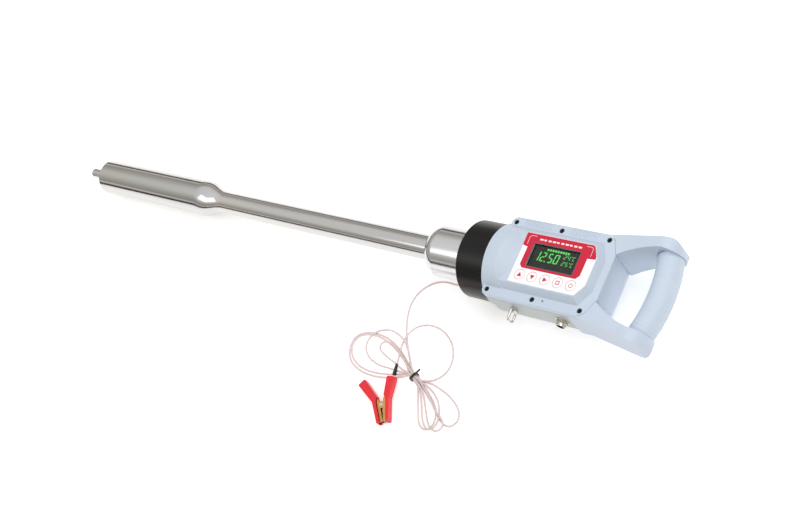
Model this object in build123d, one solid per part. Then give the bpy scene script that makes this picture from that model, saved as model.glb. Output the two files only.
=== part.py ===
from build123d import *
import os
from math import atan, cos, degrees, pi, radians, sin, sqrt, tan

# Probe-type grain moisture meter. Everything but the ground lead is drawn in the instrument's own
# frame: X along the probe, from its tip to the handle, with X = 0 at the collar's front face,
# Y across the panel and Z out of the panel. place() then lays the instrument on its back.

# Probe
SHAFT_R = 16.0
SHAFT_WALL = 2.0
HEAD_R = 25.5
HEAD_WALL = 2.5
ELECTRODE_R = 7.8
TIP_END = -750.0
HEAD_FACE = -713.0
CAP_SEAM = -696.0
SWAGE_START = -487.0
SWAGE_END = -445.0
COUPLER_R = 32.5
COUPLER_FACE = -64.0
FERRULE_R = 20.0
COUPLER_NUT_R = 34.0

# Collar and housing
COLLAR_R = 47.1
COLLAR_END = 39.5
SPIGOT_R = 39.9
ARCH_R = 49.0
ARCH_FRONT = 39.8
WALL = 2.5
HALF_WIDTH = 51.5
FLANGE_Z = 28.3
SPLIT_Z = 21.5
GASKET = 1.0
BACK_Z = -49.5
BACK_RADIUS = 41.2
SHELL_FRONT = 44.0
SHELL_END = 157.0
COVER_END = 189.0
PANEL_Z = 36.5
PANEL_INSET = 6.6
PLATE_ROUND = 1.2
PANEL_ROUND = 2.0
CREST_ROUND = 4.0
SCOOP_CREST = 56.3
SCOOP_END = 75.0
SCOOP_R = 80.0

# Fasteners of the cover: two rows of three
SCREW_X = (48.85, 111.6, 174.3)
SCREW_Y = 44.35
SCREW_HEAD_R = 2.9

# Display and keys
LCD_X = (90.6, 151.8)
LCD_Y = (-8.8, 19.7)
KEY_X = 87.9
KEY_PITCH = 17.1
KEY_Y = -21.2
KEY_R = 6.6
KEY_GAP = 0.2
KEY_COUNT = 5
KEY_TRAVEL = 0.4

# Circuit board with its four posts, and the two cells
BOARD_X = (70.0, 166.0)
BOARD_Y = (-29.0, 29.0)
BOARD_Z = 20.4
BOARD_T = 1.6
POST_X = (73.5, 162.5)
POST_Y = 25.5
CELL_R = 9.1
CELL_Y = 10.2
CELL_Z = -33.0

# Rear wall of the housing, from its front edge to its back, as (x, z)
REAR_WALL = ((189.0, 60.0), (188.0, 20.5), (184.5, -18.0), (179.5, -32.0), (167.0, -50.0))

# Handle
ARM_FRONT = 28.0
ARM_BACK = -23.8
NOSE_X = 256.5
NOSE_CORNER = 13.0
GRIP_R = 15.0
GRIP_END_X = 239.5
GRIP_BOW = 7.0
GRIP_END_Y = 49.0
GRIP_Z = 2.6
GRIP_WALL = 3.0

# Side fittings, on the wall at -Y
BAIL_X = 80.5
BAIL_Z = 5.5
BAIL_WIRE_R = 1.5
BAIL_SPREAD = 12.0
BAIL_REACH = 13.5
BAIL_PIVOT_OUT = 3.6
SOCKET_X = 144.5
SOCKET_Z = 3.5
SOCKET_NUT_R = 7.2
SOCKET_BARREL_R = 6.0
SIDE = -HALF_WIDTH
BAIL_PIVOT_Y = SIDE - BAIL_PIVOT_OUT

# Ground lead, in the frame of the surface that the instrument lies on
LEAD_D = 2.4
GLAND_ANGLE = 230.0
GLAND_RADIUS = 40.0
GLAND_OUT = 7.0
SLEEVE_LENGTH = 14.0

# Centre line of the lead from the gland to the tie, and of its free end from the tie to the clip
LEAD_ROUTE = [
    (-34.0, -26.0, 10.6), (-47.0, -25.4, 4.2), (-61.0, -23.4, 1.4), (-77.0, -27.0, 1.25),
    (-92.0, -40.0, 1.25), (-99.0, -58.0, 1.25), (-96.5, -77.0, 1.25), (-89.0, -95.0, 1.3),
    (-79.5, -112.0, 1.3), (-67.5, -127.0, 2.2), (-58.5, -138.0, 3.6), (-52.5, -146.5, 4.2)]

LOOP_ROUTE = [
    (-39.0, -155.0, 4.2), (-27.0, -153.5, 3.2), (-13.5, -146.5, 1.7), (-4.5, -132.0, 1.3),
    (-6.0, -114.0, 1.3), (-16.0, -98.0, 1.3), (-33.0, -86.5, 1.3), (-53.0, -82.5, 1.9),
    (-70.0, -88.0, 4.4), (-79.5, -101.0, 5.4), (-82.5, -117.0, 5.0), (-78.6, -132.0, 5.2),
    (-75.0, -145.0, 6.4)]

# The spare lead, folded and tied
HANK_HEIGHT = 3.0
NECK_LOW = 1.2
NECK_HIGH = 7.6
NECK_HALF = 5.2
TIE_AT = (-45.0, -152.5)
TIE_HEADING = -27.0
TIE_WALL = 1.2

# Crocodile clip
CLIP_PIN = (-69.0, -198.5)
CLIP_HEADING = 122.0
CLIP_PITCH = 3.5
CLIP_BASE = 1.6
CLIP_WIDTH = 10.0
CHEEK = 0.7
FIXED_CHEEKS = (1.6, 7.7)
MOVING_CHEEKS = (2.45, 6.85)
FIXED_END = (33.0, -17.0)
MOVING_END = (36.5, 24.0)
PIN_R = 1.5

# The instrument lies on the front edge of its flat back and on its sensor head
REST_X = 50.0
HEAD_REST_X = HEAD_FACE + 7.3
TILT = degrees(atan((-BACK_Z - HEAD_R) / (REST_X - HEAD_REST_X)))
LIFT = -BACK_Z * cos(radians(TILT)) - REST_X * sin(radians(TILT))

# Middle of the instrument's length and width, from the collar's front face
ORIGIN_X = -243.47
ORIGIN_Y = -3.55


def place(shape):
    """Instrument frame to the frame of the surface it lies on."""
    return Pos(0, 0, LIFT) * Rot(0, -TILT, 0) * shape


def rod_x(x0, x1, r, y=0.0, z=0.0):
    return Pos((x0 + x1) / 2, y, z) * Rot(0, 90, 0) * Cylinder(r, x1 - x0)


def tube_x(x0, x1, r_out, r_in, y=0.0, z=0.0):
    return rod_x(x0, x1, r_out, y, z) - rod_x(x0 - 1, x1 + 1, r_in, y, z)


def rod_y(y0, y1, r, x, z):
    return Pos(x, (y0 + y1) / 2, z) * Rot(90, 0, 0) * Cylinder(r, y1 - y0)


def rod_z(z0, z1, r, x, y):
    return Pos(x, y, (z0 + z1) / 2) * Cylinder(r, z1 - z0)


def block(x, y, z):
    """A box from its low and high limits along each axis."""
    size = Box(x[1] - x[0], y[1] - y[0], z[1] - z[0])
    return Pos((x[0] + x[1]) / 2, (y[0] + y[1]) / 2, (z[0] + z[1]) / 2) * size


def flat_face(points, z):
    return Pos(0, 0, z) * make_face(Polyline(*points, close=True))


def prism_z(points, z0, z1):
    return extrude(flat_face(points, z0), amount=z1 - z0, dir=(0, 0, 1))


def mirrored(points):
    """An outline symmetric about Y = 0 from the points of its +Y half, front to rear."""
    return list(points) + [(x, -y) for x, y in reversed(points)]


# ---------------------------------------------------------------- probe

def head_profile(offset):
    """Radius of the sensor head's wall surface, set in by offset, swaged down to the shaft."""
    wide = HEAD_R - offset
    narrow = SHAFT_R - offset
    middle = ((SWAGE_START + SWAGE_END) / 2, (wide + narrow) / 2)
    first = TangentArc((SWAGE_START, wide), middle, tangent=(1, 0))
    second = TangentArc(middle, (SWAGE_END, narrow), tangent=first % 1)
    return first, second


def sensor_head():
    first, second = head_profile(0)
    inner_second, inner_first = head_profile(HEAD_WALL)[1], head_profile(HEAD_WALL)[0]
    bore = HEAD_R - HEAD_WALL
    neck = SHAFT_R - HEAD_WALL
    edges = [
        Line((CAP_SEAM, HEAD_R), (SWAGE_START, HEAD_R)),
        first,
        second,
        Line((SWAGE_END, SHAFT_R), (SWAGE_END, neck)),
        inner_second,
        inner_first,
        Line((SWAGE_START, bore), (CAP_SEAM, bore)),
        Line((CAP_SEAM, bore), (CAP_SEAM, HEAD_R)),
    ]
    return revolve(Plane.XZ * make_face(edges), axis=Axis.X)


def turned(points):
    return revolve(Plane.XZ * make_face(Polyline(*points, close=True)), axis=Axis.X)


def head_end_cap():
    chamfer_x = HEAD_FACE + 7.3
    spigot = HEAD_R - HEAD_WALL - 0.05
    return turned([
        (HEAD_FACE, 13.0), (HEAD_FACE, 18.5), (HEAD_FACE + 1.6, 21.4), (chamfer_x, HEAD_R),
        (CAP_SEAM, HEAD_R), (CAP_SEAM, spigot), (CAP_SEAM + 9, spigot), (CAP_SEAM + 9, 13.0)])


def tip_insulator():
    return turned([
        (HEAD_FACE - 1.5, ELECTRODE_R), (HEAD_FACE - 1.5, 11.5), (HEAD_FACE, 13.0),
        (CAP_SEAM + 9, 13.0), (CAP_SEAM + 9, ELECTRODE_R)])


def tip_electrode():
    body = rod_x(TIP_END, -640, ELECTRODE_R)
    body = fillet(body.edges().group_by(Axis.X)[0], 4.5)
    return body - rod_x(-742, -630, 3.0)


def temperature_sensor():
    return rod_x(-741.5, -712, 2.6)


def core_electrode():
    return tube_x(-628, -520, 15.0, 12.5)


def head_spacers():
    near = tube_x(-640, -628.2, HEAD_R - HEAD_WALL - 0.05, 8.0)
    far = tube_x(-519.8, -508, HEAD_R - HEAD_WALL - 0.05, 6.0)
    return [near, far]


def sensor_board():
    return block((-610, -530), (-9, 9), (-0.8, 0.8))


def neck_sleeve():
    outer = SHAFT_R - HEAD_WALL - 0.05
    return tube_x(SWAGE_END - 3, SWAGE_END + 22, outer, outer - 1.5)


def probe_shaft():
    return tube_x(SWAGE_END, 6.0, SHAFT_R, SHAFT_R - SHAFT_WALL)


def signal_cable():
    return rod_x(-529, 46.0, 2.5)


def shaft_ferrule():
    return turned([
        (COUPLER_FACE - 6, SHAFT_R), (COUPLER_FACE - 6, FERRULE_R - 1.5),
        (COUPLER_FACE - 4.5, FERRULE_R), (COUPLER_FACE, FERRULE_R), (COUPLER_FACE, SHAFT_R)])


def coupler():
    nose = TangentArc((COUPLER_FACE + 1.5, 27.5), (COUPLER_FACE + 14, COUPLER_R), tangent=(2.2, 2))
    edges = [
        Line((COUPLER_FACE, SHAFT_R), (COUPLER_FACE, 26.0)),
        Line((COUPLER_FACE, 26.0), (COUPLER_FACE + 1.5, 27.5)),
        nose,
        Line((COUPLER_FACE + 14, COUPLER_R), (-0.8, COUPLER_R)),
        Line((-0.8, COUPLER_R), (-0.8, 25.9)),
        Line((-0.8, 25.9), (14.0, 25.9)),
        Line((14.0, 25.9), (14.0, SHAFT_R)),
        Line((14.0, SHAFT_R), (COUPLER_FACE, SHAFT_R)),
    ]
    body = revolve(Plane.XZ * make_face(edges), axis=Axis.X)
    return body - tube_x(-48, -30, 18.2, SHAFT_R - 0.5)


def coupler_seals():
    return [tube_x(x, x + 3.4, 18.0, SHAFT_R) for x in (-46.0, -36.0)]


def coupler_gasket():
    return tube_x(-0.8, 0.0, COUPLER_R - 0.8, 25.9)


def coupler_nut():
    hexagon = extrude(Plane.YZ * Pos(0, 0, 4.2) * RegularPolygon(COUPLER_NUT_R, 6), amount=8)
    return hexagon - rod_x(0, 20, 26.0)


# ---------------------------------------------------------------- collar and housing

def gland_place():
    """Centre of the gland in the collar's front face."""
    angle = radians(GLAND_ANGLE)
    return GLAND_RADIUS * cos(angle), GLAND_RADIUS * sin(angle)


def collar():
    gy, gz = gland_place()
    shell = rod_x(0, COLLAR_END, COLLAR_R)
    shell = fillet(shell.edges().group_by(Axis.X)[0], 1.6)
    shell += rod_x(COLLAR_END - 1, COLLAR_END + 9, SPIGOT_R)
    shell -= rod_x(4.2, COLLAR_END + 20, SPIGOT_R - 4.0)
    shell -= rod_x(-1, 5, 26.0)
    boss = rod_x(3, 14, 5.0, gy, gz)
    return shell + boss - rod_x(-1, 20, 3.0, gy, gz)


def collar_seal():
    return tube_x(COLLAR_END, ARCH_FRONT, COLLAR_R - 1.5, SPIGOT_R + 0.3)


def lead_gland():
    gy, gz = gland_place()
    body = rod_x(-3.0, 0, 4.6, gy, gz) + rod_x(-GLAND_OUT, -2.5, 3.2, gy, gz) + rod_x(-1, 16, 2.95, gy, gz)
    body = chamfer(body.edges().group_by(Axis.X)[0], 0.9)
    return body - rod_x(-20, 20, LEAD_D / 2 + 0.05, gy, gz)


def housing_section(inset):
    """Outline of the housing across the probe, open to the front at SPLIT_Z."""
    side = HALF_WIDTH - inset
    back = BACK_Z + inset
    corner = BACK_RADIUS - inset
    turn = BACK_Z + BACK_RADIUS
    flat = HALF_WIDTH - BACK_RADIUS
    top = SPLIT_Z - GASKET
    edges = [
        Line((side, top), (side, turn)),
        CenterArc((flat, turn), corner, 0, -90),
        Line((flat, back), (-flat, back)),
        CenterArc((-flat, turn), corner, -90, -90),
        Line((-side, turn), (-side, top)),
        Line((-side, top), (side, top)),
    ]
    return Plane.YZ * make_face(edges)


def section_prism(x0, x1, inset):
    return Pos(x0, 0, 0) * extrude(housing_section(inset), amount=x1 - x0, dir=(1, 0, 0))


def rear_shell():
    body = section_prism(SHELL_FRONT, SHELL_END - 0.1, 0)
    body = fillet(body.edges().group_by(Axis.X)[0].filter_by(lambda e: e.center().Z < 15), 6.0)
    below = block((0, 200), (-80, 80), (-80, SPLIT_Z - GASKET))
    body += rod_x(ARCH_FRONT, SHELL_FRONT + 20, ARCH_R) & below
    body -= section_prism(SHELL_FRONT + 3, SHELL_END + 5, WALL)
    for x in SCREW_X[:2]:
        for y in (-SCREW_Y, SCREW_Y):
            post = rod_z(2.0, SPLIT_Z - GASKET, 4.6, x, y)
            post += block((x - 2, x + 2), (min(y, y * 1.12), max(y, y * 1.12)), (2.0, SPLIT_Z - GASKET))
            body += post - rod_z(6.0, 40, 1.6, x, y)
    body -= rod_x(0, SHELL_FRONT + 5, SPIGOT_R + 0.05)
    body -= rod_y(-60, -40, SOCKET_BARREL_R + 0.05, SOCKET_X, SOCKET_Z)
    for z in (BAIL_Z - 2.6, BAIL_Z + 2.6):
        body -= rod_y(-60, -40, 1.0, BAIL_X, z)
    for y in (-7.0, 7.0):
        body -= rod_z(-60, -40, 1.7, SHELL_END - 5, y)
        body -= Pos(SHELL_END - 5, y, BACK_Z + 0.8) * Cone(3.3, 1.7, 1.6)
    return body


def cover_outline(inset):
    front = SHELL_FRONT - 2.0 + inset
    side = HALF_WIDTH - inset
    rear = COVER_END - inset
    return mirrored([
        (front, 36.0), (front, side - 6.0), (front + 2.0, side - 2.2), (front + 6.0, side),
        (172.5, side), (181.0 - inset * 0.7, 45.5 - inset), (rear, 27.0)])


def panel_outline(inset):
    side = 39.4 - inset
    rear = 180.3 - inset
    return mirrored([(52.0, side), (169.5 - inset * 0.75, side), (rear, 18.6 - inset * 0.15)])


def scoop(drop):
    """The solid below the hollow that slopes from the arch's crest down to the panel."""
    slope = degrees(atan((ARCH_R - PANEL_Z) / (SCOOP_END - SCOOP_CREST)))
    cylinder = Rot(0, 90, 0) * Cylinder(SCOOP_R, 300)
    return Pos(SCOOP_CREST, 0, ARCH_R - drop) * Rot(0, slope, 0) * Pos(0, 0, -SCOOP_R) * cylinder


def housing_top(inset):
    """Outer form of the cover above the split, set in by inset."""
    z_top = FLANGE_Z - inset
    plate = prism_z(cover_outline(inset), SPLIT_Z - (5 if inset else 0), z_top)
    foot = flat_face(panel_outline(inset), z_top - 0.01)
    panel = loft([foot, flat_face(panel_outline(inset + PANEL_INSET), PANEL_Z - inset)], ruled=True)
    if not inset:
        plate = fillet(plate.edges().group_by(Axis.Z)[-1], PLATE_ROUND)
        panel = fillet(panel.edges().group_by(Axis.Z)[-1], PANEL_ROUND)
    above = block((0, 200), (-80, 80), (SPLIT_Z - (5 if inset else 0), 80))
    arch = rod_x(ARCH_FRONT + inset, SCOOP_END + 4, ARCH_R - inset) & above
    dome = arch & scoop(inset)
    if not inset:
        crest = [e for e in dome.edges() if abs(e.center().X - SCOOP_CREST) < 1 and e.length > 100]
        dome = fillet(crest, CREST_ROUND)
    return plate + panel + dome


def front_cover():
    body = housing_top(0) - housing_top(WALL)
    ears = [rod_z(SPLIT_Z, FLANGE_Z, 5.6, x, y) for x in SCREW_X for y in (-SCREW_Y, SCREW_Y)]
    body += prism_z(cover_outline(0), SPLIT_Z, FLANGE_Z) & Compound(children=ears)
    body -= rod_x(0, SHELL_FRONT + 8, SPIGOT_R + 0.05)
    for x in SCREW_X:
        for y in (-SCREW_Y, SCREW_Y):
            body -= rod_z(0, 60, 1.7, x, y)
            body -= rod_z(FLANGE_Z - 3.2, 60, SCREW_HEAD_R + 0.3, x, y)
    body -= prism_z(label_outline(0.2), PANEL_Z - 0.5, PANEL_Z + 1)
    body -= block((LCD_X[0] - 1, LCD_X[1] + 1), (LCD_Y[0] - 1, LCD_Y[1] + 1), (20, 60))
    for x in key_places():
        body -= rod_z(20, 60, KEY_R + KEY_GAP, x, KEY_Y)
    body -= rod_z(40, 60, 1.55, 50.0, 0)
    body -= rod_z(20, 60, 1.2, 125.3, -43.4)
    for start, count in ((61.5, 10), (124.0, 10)):
        for i in range(count):
            x = start + 3.8 * i
            body -= block((x, x + 1.3), (41.6, 50.2), (FLANGE_Z - 0.5, FLANGE_Z + 1))
    return body


def cover_gasket():
    outer = prism_z(cover_outline(0.6), SPLIT_Z - GASKET, SPLIT_Z)
    inner = prism_z(cover_outline(WALL), SPLIT_Z - 9, SPLIT_Z + 9)
    pads = [rod_z(SPLIT_Z - GASKET, SPLIT_Z, 5.4, x, y) for x in SCREW_X for y in (-SCREW_Y, SCREW_Y)]
    body = (outer - inner) + (outer & Compound(children=pads))
    body -= rod_x(0, SHELL_FRONT + 5, SPIGOT_R + 0.2)
    for x in SCREW_X:
        for y in (-SCREW_Y, SCREW_Y):
            body -= rod_z(0, 60, 1.8, x, y)
    return body


def cover_screws():
    screws = []
    for x in SCREW_X:
        for y in (-SCREW_Y, SCREW_Y):
            head = rod_z(FLANGE_Z - 3.2, FLANGE_Z - 0.9, SCREW_HEAD_R, x, y)
            socket = extrude(Pos(x, y, FLANGE_Z - 2.4) * RegularPolygon(1.4, 6), amount=5)
            screws.append(head - socket + rod_z(7.0, FLANGE_Z - 3.1, 1.6, x, y))
    return screws


def status_light():
    return rod_z(44.0, ARCH_R + 0.3, 1.5, 50.0, 0)


# ---------------------------------------------------------------- display and keys

def label_outline(grow):
    side = 31.6 + grow
    return mirrored([(76.0 - grow, side), (164.3, side), (173.2 + grow, 17.6)])


def key_places():
    return [KEY_X + KEY_PITCH * i for i in range(KEY_COUNT)]


def overlay_label():
    body = prism_z(label_outline(0), PANEL_Z - 0.5, PANEL_Z + 0.1)
    body -= block((LCD_X[0] - 0.1, LCD_X[1] + 0.1), (LCD_Y[0] - 0.1, LCD_Y[1] + 0.1), (20, 60))
    for x in key_places():
        body -= rod_z(20, 60, KEY_R + KEY_GAP, x, KEY_Y)
    return body


def window_lens():
    lip = block((LCD_X[0] - 0.9, LCD_X[1] + 0.9), (LCD_Y[0] - 0.9, LCD_Y[1] + 0.9), (PANEL_Z - 2.0, PANEL_Z - 0.5))
    return lip + block(LCD_X, LCD_Y, (PANEL_Z - 0.6, PANEL_Z))


def lcd_module():
    return block((LCD_X[0] - 4, LCD_X[1] + 4), (LCD_Y[0] - 3, LCD_Y[1] + 3), (29.6, 33.8))


def lcd_backlight():
    return block((LCD_X[0] - 4, LCD_X[1] + 4), (LCD_Y[0] - 3, LCD_Y[1] + 3), (26.6, 29.6))


def key(x):
    cap = rod_z(PANEL_Z - 1.2, PANEL_Z + 0.1, KEY_R, x, KEY_Y)
    cap = fillet(cap.edges().group_by(Axis.Z)[-1], 0.4)
    return cap + rod_z(26.6, PANEL_Z - 1.0, 2.2, x, KEY_Y)


def key_switches():
    return [block((x - 3, x + 3), (KEY_Y - 3, KEY_Y + 3), (22.0, 26.6 - KEY_TRAVEL - 0.2)) for x in key_places()]


def main_board():
    body = block(BOARD_X, BOARD_Y, (BOARD_Z, BOARD_Z + BOARD_T))
    for x in POST_X:
        for y in (-POST_Y, POST_Y):
            body -= rod_z(0, 60, 1.6, x, y)
    return body


def board_posts():
    """Threaded spacers between the board and the cover, one at each corner."""
    return [rod_z(BOARD_Z + BOARD_T, PANEL_Z - WALL, 2.4, x, y) for x in POST_X for y in (-POST_Y, POST_Y)]


def board_screws():
    return [rod_z(BOARD_Z - 1.8, BOARD_Z, 2.6, x, y) + rod_z(BOARD_Z, BOARD_Z + BOARD_T, 1.5, x, y)
            for x in POST_X for y in (-POST_Y, POST_Y)]


def buzzer():
    return rod_z(BOARD_Z - 8.0, BOARD_Z, 6.0, 125.3, -20.0)


def battery_cells():
    return [rod_x(72, 137, CELL_R, y, CELL_Z) for y in (-CELL_Y, CELL_Y)]


def battery_holder():
    tray = block((68, 141), (-21.5, 21.5), (BACK_Z + WALL, CELL_Z + 2))
    for y in (-CELL_Y, CELL_Y):
        tray -= rod_x(71.5, 137.5, CELL_R + 0.2, y, CELL_Z)
        tray -= block((71.5, 137.5), (y - CELL_R - 0.2, y + CELL_R + 0.2), (CELL_Z, CELL_Z + 10))
    return tray & section_prism(60, 150, WALL + 0.1)


# ---------------------------------------------------------------- handle

def arm_outline():
    """One arm of the handle in plan, at +Y, from the housing to past its nose."""
    corner = NOSE_X - NOSE_CORNER
    outer = [Line((SHELL_END, HALF_WIDTH), (172.0, HALF_WIDTH)), Line((172.0, HALF_WIDTH), (corner, 63.0))]
    end = [
        CenterArc((corner, 63.0 - NOSE_CORNER), NOSE_CORNER, 90, -90),
        Line((NOSE_X, 63.0 - NOSE_CORNER), (NOSE_X, GRIP_END_Y)),
    ]
    inner = [
        Line((NOSE_X, GRIP_END_Y), (236.0, GRIP_END_Y)),
        ThreePointArc((236.0, GRIP_END_Y), (210.5, 41.8), (188.0, 29.0)),
        Line((188.0, 29.0), (SHELL_END, 29.0)),
        Line((SHELL_END, 29.0), (SHELL_END, HALF_WIDTH)),
    ]
    return make_face(outer + end + inner)


def arm():
    depth = ARM_FRONT - ARM_BACK
    body = extrude(Pos(0, 0, ARM_BACK) * arm_outline(), amount=depth, dir=(0, 0, 1))
    centre = (NOSE_X - depth / 2, (ARM_FRONT + ARM_BACK) / 2)
    nose = rod_y(0, 90, depth / 2, centre[0], centre[1])
    return body & (nose + block((100, centre[0]), (0, 90), (ARM_BACK, ARM_FRONT)))


def ahead_of_rear_wall(inset):
    rear = [(x - inset, z) for x, z in REAR_WALL]
    outline = Polyline((0, rear[-1][1]), (0, rear[0][1]), *rear, close=True)
    return extrude(Plane.XZ * make_face(outline), amount=80, both=True)


def rear_hollow():
    hollow = section_prism(SHELL_END - 2, COVER_END - 1.0, WALL) & ahead_of_rear_wall(WALL)
    return hollow & prism_z(cover_outline(WALL), -80, 80)


def end_cap():
    """The housing's rear end, which carries the arms."""
    body = section_prism(SHELL_END + 0.2, COVER_END - 1.0, 0) & ahead_of_rear_wall(0)
    body = body & prism_z(cover_outline(0), -80, SPLIT_Z - GASKET)
    body -= rear_hollow()
    tongue = section_prism(SHELL_END - 9, SHELL_END + 3, WALL + 0.1)
    tongue += section_prism(SHELL_END + 0.3, SHELL_END + 3, WALL - 0.4)
    tongue -= section_prism(SHELL_END - 11, SHELL_END + 4, WALL + 2.3)
    tongue -= rod_y(-80, 0, 9.6, SOCKET_X, SOCKET_Z)
    return body + tongue - block((100, 200), (-80, 80), (SPLIT_Z - GASKET - 0.001, 40))


def handle_frame():
    one = arm()
    arms = one + mirror(one, about=Plane.XZ)
    arms -= rear_hollow()
    arms -= prism_z(cover_outline(-0.3), SPLIT_Z - GASKET, 60)
    body = arms + end_cap()
    for y in (-SCREW_Y, SCREW_Y):
        body += rod_z(0.0, SPLIT_Z - GASKET, 4.8, SCREW_X[2], y)
        body -= rod_z(6.0, 60, 1.6, SCREW_X[2], y)
    for y in (-GRIP_END_Y - 6.0, GRIP_END_Y + 6.0):
        body -= rod_y(min(y, y * 0.8), max(y, y * 0.8), GRIP_R - GRIP_WALL + 0.05, GRIP_END_X, GRIP_Z)
    for y0, y1 in ((-GRIP_END_Y, -38.0), (38.0, GRIP_END_Y)):
        body -= rod_y(y0, y1, GRIP_R + 0.4, GRIP_END_X, GRIP_Z)
    for y in (-7.0, 7.0):
        body -= rod_z(-60, -40, 1.4, SHELL_END - 5, y)
    return body


def grip_path():
    rise = GRIP_BOW
    return ThreePointArc(
        (GRIP_END_X, -GRIP_END_Y, GRIP_Z), (GRIP_END_X + rise, 0, GRIP_Z), (GRIP_END_X, GRIP_END_Y, GRIP_Z))


def grip():
    path = grip_path()
    ring = Plane(path @ 0, x_dir=(0, 0, 1), z_dir=path % 0) * Circle(GRIP_R)
    bore = Plane(path @ 0, x_dir=(0, 0, 1), z_dir=path % 0) * Circle(GRIP_R - GRIP_WALL)
    body = sweep(ring, path=path) - sweep(bore, path=path)
    inside = block((200, 290), (-GRIP_END_Y, GRIP_END_Y), (-40, 60))
    body = body & inside
    for i in range(7):
        at = path @ (0.2 + 0.1 * i)
        body -= Pos(at.X - 4.5, at.Y, GRIP_Z + GRIP_R - 0.3) * Sphere(0.9)
    for side in (-1, 1):
        y0, y1 = sorted((side * (GRIP_END_Y - 4), side * (GRIP_END_Y + 5.5)))
        seat0, seat1 = sorted((side * (GRIP_END_Y - 4), side * (GRIP_END_Y - 0.2)))
        body += rod_y(y0, y1, GRIP_R - GRIP_WALL, GRIP_END_X, GRIP_Z)
        body += rod_y(seat0, seat1, GRIP_R - GRIP_WALL + 0.8, GRIP_END_X, GRIP_Z)
    return body


def handle_screws():
    screws = []
    for y in (-7.0, 7.0):
        head = Pos(SHELL_END - 5, y, BACK_Z + 0.85) * Cone(3.1, 1.6, 1.5)
        screws.append(head + rod_z(BACK_Z + 1.2, BACK_Z + 6.0, 1.4, SHELL_END - 5, y))
    return screws


# ---------------------------------------------------------------- side fittings

def strap_lug():
    half = BAIL_SPREAD / 2 - BAIL_WIRE_R - 0.3
    barrel = rod_z(BAIL_Z - half, BAIL_Z + half, 3.0, BAIL_X, BAIL_PIVOT_Y)
    foot = block((BAIL_X - 3.0, BAIL_X + 3.0), (BAIL_PIVOT_Y, SIDE), (BAIL_Z - half, BAIL_Z + half))
    body = barrel + foot
    for z in (BAIL_Z - 2.6, BAIL_Z + 2.6):
        body += rod_y(SIDE - 0.5, SIDE + 6, 0.95, BAIL_X, z)
    return body - rod_z(-40, 60, 1.05, BAIL_X, BAIL_PIVOT_Y)


def strap_bail():
    """A U of wire whose ends turn in to meet in the lug's bore."""
    half = BAIL_SPREAD / 2
    corner = 3.6
    y_end = BAIL_PIVOT_Y - BAIL_REACH
    path = FilletPolyline(
        (BAIL_X, BAIL_PIVOT_Y, BAIL_Z + half), (BAIL_X, y_end, BAIL_Z + half),
        (BAIL_X, y_end, BAIL_Z - half), (BAIL_X, BAIL_PIVOT_Y, BAIL_Z - half), radius=corner)
    loop = sweep(Plane(path @ 0, z_dir=path % 0) * Circle(BAIL_WIRE_R), path=path)
    body = loop
    for sign in (-1, 1):
        eye = Pos(BAIL_X, BAIL_PIVOT_Y, BAIL_Z + sign * half) * Sphere(BAIL_WIRE_R)
        z0, z1 = sorted((BAIL_Z + sign * 1.0, BAIL_Z + sign * half))
        body += eye + rod_z(z0, z1, 1.0, BAIL_X, BAIL_PIVOT_Y)
    return body


def charging_socket():
    flange = rod_y(SIDE - 1.2, SIDE, 8.2, SOCKET_X, SOCKET_Z)
    barrel = rod_y(SIDE - 8.0, SIDE + 9, SOCKET_BARREL_R, SOCKET_X, SOCKET_Z)
    body = flange + barrel
    return body - rod_y(SIDE - 20, SIDE + 20, 4.6, SOCKET_X, SOCKET_Z)


def socket_insert():
    body = rod_y(SIDE - 2.5, SIDE + 10, 4.6, SOCKET_X, SOCKET_Z)
    for turn in range(4):
        angle = radians(45 + 90 * turn)
        body -= rod_y(SIDE - 3, SIDE + 2, 0.6, SOCKET_X + 2.2 * cos(angle), SOCKET_Z + 2.2 * sin(angle))
    return body


def socket_ring_nut():
    ring = rod_y(SIDE - 4.6, SIDE - 1.2, SOCKET_NUT_R, SOCKET_X, SOCKET_Z)
    ring = chamfer(ring.edges().group_by(Axis.Y)[0], 0.6)
    for turn in range(18):
        angle = radians(20 * turn)
        at = (SOCKET_X + (SOCKET_NUT_R + 0.1) * cos(angle), SOCKET_Z + (SOCKET_NUT_R + 0.1) * sin(angle))
        ring -= rod_y(SIDE - 9, SIDE + 1, 0.4, at[0], at[1])
    return ring - rod_y(SIDE - 9, SIDE + 9, SOCKET_BARREL_R, SOCKET_X, SOCKET_Z)


def socket_back_nut():
    hexagon = Pos(SOCKET_X, SIDE + WALL, SOCKET_Z) * Rot(-90, 0, 0) * extrude(RegularPolygon(8.2, 6), amount=3)
    return hexagon - rod_y(SIDE - 9, SIDE + 19, SOCKET_BARREL_R, SOCKET_X, SOCKET_Z)


# ---------------------------------------------------------------- ground lead

def corner_radii(points):
    """The largest arcs that each corner's two runs leave room for."""
    radii = []
    for a, b, c in zip(points, points[1:], points[2:]):
        before = Vector(*b) - Vector(*a)
        after = Vector(*c) - Vector(*b)
        turn = radians(before.get_angle(after))
        radii.append(0.45 * min(before.length, after.length) / tan(turn / 2))
    return radii


def lead_tube(name, points):
    radii = corner_radii(points)
    print(name, "radii", [round(r, 1) for r in radii])
    path = FilletPolyline(*points, radius=radii)
    tube = sweep(Plane(path @ 0, z_dir=path % 0) * Circle(LEAD_D / 2), path=path)
    print(name, "length", round(path.length, 1), "volume", round(tube.volume, 1),
          "section x length", round(pi * LEAD_D ** 2 / 4 * path.length, 1))
    return tube


def gland_exit():
    gy, gz = gland_place()
    tilt = radians(TILT)
    x = -GLAND_OUT + 1.0
    return (x * cos(tilt) - gz * sin(tilt), gy, x * sin(tilt) + gz * cos(tilt) + LIFT)


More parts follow.
